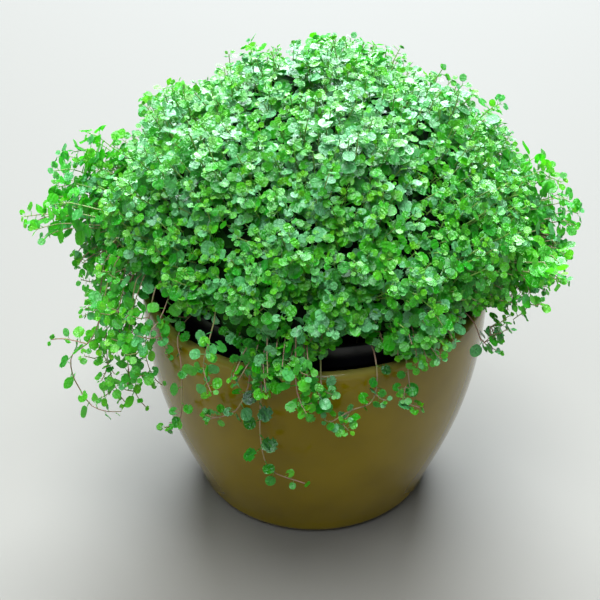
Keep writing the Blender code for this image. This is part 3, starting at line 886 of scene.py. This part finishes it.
def dress_shoot(foliage, chance, line, scale, most):
    """Leaves down a shoot from its tip: a tight young tuft, then grown leaves turned to the light."""
    foliage.tone = chance.random()
    turn = chance.uniform(0, math.tau)
    tilt = chance_direction(chance)
    distance = 0
    for index in range(most):
        step = min(index, len(LEAF_SIZES) - 1)
        point, stem = along_from_tip(line, distance)
        if point is None:
            break
        level = stem.orthogonal().normalized()
        side = Matrix.Rotation(turn + chance.uniform(-0.5, 0.5), 3, stem) @ level
        lift = math.radians(max(2, 46 - 11 * index) + chance.uniform(-12, 14))
        along = math.cos(lift) * side + math.sin(lift) * stem
        light = 0.9 * UP + LEAF_OUTWARD * outward_of(point) + LEAF_FRONT
        loose = 0.25 if index < 4 else 0.45
        face = 0.3 * stem + 0.9 * light + 0.4 * tilt + loose * chance_direction(chance)
        size = LEAF_SIZES[step] * scale * chance.uniform(0.8, 1.2) * MM
        foliage.add_leaf(chance, point, along, face, size, 0.02 + 0.1 * index)
        turn += math.pi + 0.35
        distance += LEAF_GAPS[step] * scale * MM


def dress_strand(foliage, chance, line, size, gap, stop, age):
    """Leaves by turns on both sides of a strand, faced loosely up and outwards, small at its tip."""
    distance = 0
    index = 0
    while True:
        point, stem = along_from_tip(line, distance)
        if point is None or distance > stop:
            break
        outward = outward_of(point)
        share = min(1, 0.45 + 0.11 * index)
        side = stem.cross(outward + 0.8 * chance_direction(chance)).normalized()
        if index % 2 == 0:
            side = -side
        along = side + chance.uniform(-0.1, 0.6) * stem + chance.uniform(0, 0.5) * outward
        face = 0.55 * outward + 0.8 * UP + 0.6 * chance_direction(chance)
        blade = size * share * chance.uniform(0.8, 1.18)
        grown = min(1, 0.1 + 0.1 * index) * age + chance.uniform(-0.2, 0.2)
        foliage.add_leaf(chance, point, along, face, blade, grown)
        distance += gap * (0.3 + 0.7 * share) * chance.uniform(0.75, 1.25)
        index += 1


def side_shoots(foliage, chance, line, places, length):
    """Short leafy shoots off a strand, at the given distances from its tip."""
    for distance in places:
        point, stem = along_from_tip(line, distance)
        if point is None:
            continue
        outward = outward_of(point)
        heading = (0.7 * outward + 0.35 * stem + 0.6 * chance_direction(chance)).normalized()
        reach = length * chance.uniform(0.7, 1.2)
        middle = point + 0.5 * reach * heading
        tip = middle + 0.5 * reach * (heading + 0.5 * UP).normalized()
        branch = smooth_line([point, clear_of_pots(middle, 1.2 * MM), clear_of_pots(tip, 2 * MM)], 3 * MM)
        dress_shoot(foliage, chance, branch, chance.uniform(0.85, 1.15), SIDE_SHOOT_LEAVES)
        foliage.add_stem(branch, FINE_STEM)


def skirt_lift(azimuth):
    """How far the skirt of shoots is lifted off the rims at an azimuth: 1 is a full lift."""
    lift = 0
    for middle, half_width, share in LIFTED_SKIRT:
        off = (azimuth - middle + 180) % 360 - 180
        lift = max(lift, share * math.exp(-((off / half_width) ** 4)))
    return lift


def grow_mound(quarters, stems):
    """Short leafy shoots all over the dome, in swells and hollows."""
    chance = random.Random(23)
    spacing = math.sqrt((1 - LOWEST_RISE) * math.tau / SHOOT_COUNT)
    for index in range(SHOOT_COUNT):
        # Spread evenly over the dome and a little under its edge, then shifted a little at random
        even = 1 - (1 - LOWEST_RISE) * (index + 0.5) / SHOOT_COUNT
        rise = min(0.999, max(LOWEST_RISE, even + chance.uniform(-0.4, 0.4) * spacing))
        level = math.sqrt(1 - rise * rise)
        turn = GOLDEN_ANGLE * index + chance.uniform(-0.4, 0.4) * spacing / max(0.15, level)
        direction = Vector((level * math.cos(turn), level * math.sin(turn), rise))
        swell = noise.noise(3.4 * direction) + 0.8 * noise.noise(9 * direction + UP)
        depth = (6 - 11 * swell + chance.uniform(-3, 4)) * MM
        # One shoot in fourteen stands out of the rest
        if chance.random() < 0.07:
            depth -= chance.uniform(1, 4) * MM
        # The lowest shoots are drawn in and up where the skirt is lifted, and hang elsewhere
        lift = skirt_lift(math.degrees(turn)) * max(0, 1 - max(0, rise) / 0.34)
        depth += 9 * lift * MM
        upper = Vector((direction.x, direction.y, max(0.001, rise)))
        tip = mound_point(upper, depth)
        droop = max(0, 1 - rise / 0.28) * (1 - lift)
        tip.z += (4 * lift - droop * chance.uniform(3, 12)) * MM
        outward = (mound_point(upper) - mound_point(upper, 20 * MM)).normalized()
        heading = outward + 0.45 * UP * (1 - droop) - 0.8 * droop * UP + 0.35 * chance_direction(chance)
        heading.normalize()
        length = SHOOT_LENGTH * chance.uniform(0.8, 1.1)
        foot = tip - length * (0.55 * heading + 0.45 * outward)
        foot.z = max(foot.z, MOUND_CENTRE.z - 2 * MM)
        middle = tip - 0.45 * length * heading
        tip = clear_of_pots(tip, 2 * MM)
        middle = clear_of_pots(middle, 2 * MM)
        line = smooth_line([foot, middle, tip], 6 * MM)
        quarter = quarters[int(((math.degrees(turn) + 45) % 360) // 90)]
        dress_shoot(quarter, chance, line, chance.triangular(0.75, 1.28, 1.0), SHOOT_LEAVES)
        stems.add_stem(line, SHOOT_STEM)


def grow_legs(stems):
    """The stems that rise out of the growing mix and carry the mound."""
    chance = random.Random(31)
    for index in range(LEG_COUNT):
        radius = LEG_CIRCLE * math.sqrt((index + 0.5) / LEG_COUNT)
        foot = around(math.degrees(GOLDEN_ANGLE * index), radius, SOIL_TOP - 2 * MM)
        foot += NURSERY_SHIFT
        top = Vector((1.15 * foot.x, 1.15 * foot.y, MOUND_CENTRE.z + 12 * MM))
        sideways = Vector((foot.y, -foot.x, 0)).normalized()
        middle = foot.lerp(top, 0.5) + chance.uniform(-3, 3) * MM * sideways
        stems.add_stem(smooth_line([foot, middle, top], 7 * MM), LEG_STEM)


def grow_tufts(foliage):
    """The bunches of shoots that break the mound's outline."""
    chance = random.Random(37)
    for azimuth, height, reach, shoots in TUFTS:
        for number in range(shoots):
            first = number == 0
            share = 1 if first else chance.uniform(0.35, 0.9)
            bearing = azimuth if first else azimuth + chance.uniform(-7, 7)
            rise = (height if first else height + chance.uniform(-3, 8)) * MM / MOUND_RISE
            rise = min(0.97, max(0.02, rise))
            direction = around(bearing, math.sqrt(1 - rise * rise), rise)
            start = mound_point(direction, CORE_DEPTH + 5 * MM)
            edge = mound_point(direction, MM)
            outward = (edge - start).normalized()
            heading = outward - 0.25 * (1 - rise) * UP + 0.25 * chance_direction(chance)
            tip = edge + reach * share * MM * heading.normalized()
            marks = [start, start.lerp(edge, 0.8), edge.lerp(tip, 0.5) + 1.5 * MM * UP, tip]
            line = smooth_line(marks, 4 * MM)
            dress_shoot(foliage, chance, line, chance.uniform(1.0, 1.35), TUFT_LEAVES)
            foliage.add_stem(line, FINE_STEM)


def grow_hangers(foliage):
    """The strands that arch out of the mound's edge and hang beside the pot, with shorter ones by them."""
    chance = random.Random(53)
    for azimuth, reach, lowest, curl, strands, gap in HANGERS:
        for number in range(strands):
            first = number == 0
            bearing = azimuth if first else azimuth + chance.uniform(-7, 7)
            furthest = (reach if first else HANGER_REACH + (reach - HANGER_REACH) * chance.random()) * MM
            bottom = (lowest if first else min(88, lowest + chance.uniform(6, 44))) * MM
            start = mound_point(around(bearing, 1, 0.1), CORE_DEPTH + 6 * MM)
            start.z += chance.uniform(-4, 6) * MM
            shoulder = max(furthest - 6 * MM, start.to_2d().length + 2 * MM)
            marks = [
                start,
                around(bearing, shoulder, HANGER_EDGE - 4 * MM),
                around(bearing + 0.2 * curl, furthest, 0.4 * HANGER_EDGE + 0.6 * bottom),
                around(bearing + 0.6 * curl, furthest - MM, 0.12 * HANGER_EDGE + 0.88 * bottom),
                around(bearing + curl, furthest - (4 if first else 1) * MM, bottom),
            ]
            line = smooth_line(marks, 4 * MM)
            length = sum((after - before).length for before, after in zip(line, line[1:]))
            dress_strand(foliage, chance, line, 4.4 * MM, gap * MM, 0.75 * length, 0.6)
            places = [place * MM for place in HANGER_SIDE_SHOOTS if place * MM < 0.65 * length]
            side_shoots(foliage, chance, line, places, 8 * MM)
            foliage.add_stem(line, FINE_STEM)


def grow_curled_strand(foliage):
    """The strand that hangs clear of the left bunch, with its twig."""
    chance = random.Random(61)
    for marks in (CURLED_STRAND, SHOULDER_TWIG):
        line = [around(bearing, radius * MM, height * MM) for bearing, radius, height in marks]
        line = smooth_line(line, 4 * MM)
        dress_strand(foliage, chance, line, 5 * MM, 5.0 * MM, 80 * MM, 0.7)
        foliage.add_stem(line, CURLED_STEM)


def trail_line(azimuth, reach, lowest, curl, bend):
    """A trailing stem's line: up out of the growing mix, over both rims, and down outside the pot."""
    reach *= MM
    lowest *= MM
    over_rim = NURSERY_RIM_TOP + TRAIL_RADIUS + RIM_CLEARANCE
    beside = COVER_RIM_RADIUS + TRAIL_RADIUS + RIM_CLEARANCE
    rim, below, halfway, low, tip = [azimuth + share * curl for share in bend]
    marks = [
        around(azimuth, TRAIL_ROOT_RING, SOIL_TOP - 8 * MM),
        around(azimuth, TRAIL_ROOT_RING + 0.5 * MM, SOIL_TOP + 2 * MM),
        around(azimuth, TRAIL_ROOT_RING + 6 * MM, over_rim - 0.6 * MM),
        around(azimuth, NURSERY_RIM_RADIUS + 2.5 * MM, over_rim),
        around(rim, beside, COVER_HEIGHT + 3 * MM),
        around(below, max(beside, reach - 2 * MM), COVER_HEIGHT - 5 * MM),
        around(halfway, reach, 0.45 * COVER_HEIGHT + 0.55 * lowest),
        around(low, reach - MM, lowest + 5 * MM),
        around(tip, reach - MM, lowest),
    ]
    return smooth_line(marks, 3 * MM)


def make_trail(number, trail, skin, stem_skin):
    """One trailing stem with its leaves and short side shoots, in the place of its node."""
    node, azimuth, reach, lowest, curl, bend, leaf, gap, age, branches = trail
    chance = random.Random(100 + number)
    foliage = Foliage()
    line = trail_line(azimuth, reach, lowest, curl, bend)
    # The part outside the pot is a little longer than its drop
    hanging = (COVER_HEIGHT + 12 * MM - lowest * MM) * 1.15
    dress_strand(foliage, chance, line, leaf * MM, gap * MM, hanging, age)
    side_shoots(foliage, chance, line, [share * hanging for share in branches], 7 * MM)
    foliage.add_stem(line, TRAIL_STEM)
    leaves = leafy_mesh(f"{node}_leafy", foliage, skin)
    return join_pieces(leaves, stem_mesh(f"{node}_thread", foliage.lines, stem_skin))


def make_tangle(skin):
    """The mat inside the mound, just under the shoots, dark with painted shade: a lumpy dome with a flat
    underside.
    """
    select_only()
    bpy.ops.mesh.primitive_ico_sphere_add(subdivisions=5, radius=1)
    tangle = bpy.context.object
    tangle.name = "mound_tangle"
    for vert in tangle.data.vertices:
        direction = vert.co.normalized()
        lumps = 3 * noise.noise(6 * direction) + 1.5 * noise.noise(15 * direction)
        vert.co = mound_point(direction, TANGLE_DEPTH - lumps * MM * max(0, direction.z))
    tangle.data.shade_smooth()
    tangle.data.materials.append(skin)
    return tangle


# Stage


def set_stage():
    """A plain pale floor, a broad bright window behind, and weaker soft light from above and in front."""
    select_only()
    bpy.ops.mesh.primitive_plane_add(size=24)
    floor = bpy.context.object
    floor.name = "floor"
    material, _, shader = new_material("pale_floor")
    shader.inputs["Base Color"].default_value = linear("857F75")
    shader.inputs["Roughness"].default_value = 0.7
    floor.data.materials.append(material)
    world = bpy.data.worlds.new("soft_room")
    bpy.context.scene.world = world
    world.use_nodes = True
    sky = world.node_tree.nodes["Background"]
    sky.inputs["Color"].default_value = linear("EEF4F8")
    sky.inputs["Strength"].default_value = 0.07
    for name, place, spread, strength, colour in (
        ("window_behind", (0.03, 0.77, 0.64), 40, 8.0, "E8F4FF"),
        ("ceiling", (0.0, 0.0, 1.0), 36, 3.2, "EEF7FF"),
        ("window_in_front", (-0.15, -0.5, 0.85), 40, 1.5, "E4F0FC"),
    ):
        data = bpy.data.lights.new(name, "SUN")
        data.angle = math.radians(spread)
        data.energy = strength
        data.color = linear(colour)[:3]
        lamp = add_object(name, data)
        lamp.location = place
        lamp.rotation_euler = (-Vector(place)).to_track_quat("-Z", "Y").to_euler()
    bpy.context.scene.view_settings.view_transform = "Standard"


def set_camera():
    """The photograph's view: from in front and above, from about half a metre, with a long lens."""
    data = bpy.data.cameras.new("camera")
    data.sensor_width = 36
    data.lens = 83.5
    data.clip_start = 0.01
    camera = add_object("camera", data)
    camera.location = (0, -442.1 * MM, 372.2 * MM)
    camera.rotation_euler = (math.radians(56.34), 0, math.radians(0.716))
    bpy.context.scene.camera = camera


def finish_piece(piece, slot, *nodes):
    """Rides a piece on the one body, and hides the nodes that it replaces. The slot is not used."""
    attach(piece, "root")
    if nodes:
        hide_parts(*nodes)


LEAF_MODELS = [
    model_leaf("leaf_flat", 0.07, 0.03, 0.05),
    model_leaf("leaf_cupped", 0.19, 0.03, 0.12),
    model_leaf("leaf_wavy", 0.09, 0.07, 0.16),
    model_leaf("leaf_arched", 0.02, 0.04, 0.30),
]

set_camera()
set_stage()

finish_piece(make_cover_pot(make_glaze(), make_clay()), "olive_glaze", "cover_pot")
finish_piece(make_nursery_pot(make_plastic()), "black_plastic", "nursery_pot")
peat = make_peat()
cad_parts["growing_mix"].data.materials.clear()
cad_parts["growing_mix"].data.materials.append(peat)
finish_piece(make_peat_crumbs(peat), "peat_mix")

leaf_skin = make_leaf_skin("living_leaf", "92EE18", "38CE26", "14661E", "8CC840", 0.28)
# The outer bunches take a paler copy of the leaf skin: lighter colours painted in for the light that shines
# through them from behind
leaf_skin_painted_backlit = make_leaf_skin("living_leaf_painted_backlit", "B4F46A", "86EA6C", "5CBE5C", "A0D450", 0.5)
stem_skin = make_stem_skin()

quarters = [Foliage() for _ in range(4)]
mound_stems = Foliage()
grow_mound(quarters, mound_stems)
grow_legs(mound_stems)
for quarter, name in zip(quarters, ("right", "back", "left", "front")):
    finish_piece(leafy_mesh(f"mound_leaves_{name}", quarter, leaf_skin), "mound_leaf", "leafy_mound")
finish_piece(stem_mesh("mound_stems", mound_stems.lines, stem_skin), "mound_leaf", "leafy_mound")
finish_piece(make_tangle(make_tangle_skin()), "mound_leaf", "leafy_mound")

outer = Foliage()
grow_tufts(outer)
grow_hangers(outer)
grow_curled_strand(outer)
hanging = leafy_mesh("hanging_shoots", outer, leaf_skin_painted_backlit)
hanging = join_pieces(hanging, stem_mesh("hanging_threads", outer.lines, stem_skin))
finish_piece(hanging, "mound_leaf", "leafy_mound")

for number, trail in enumerate(TRAILS):
    finish_piece(make_trail(number, trail, leaf_skin, stem_skin), "trailing_leaf", trail[0])
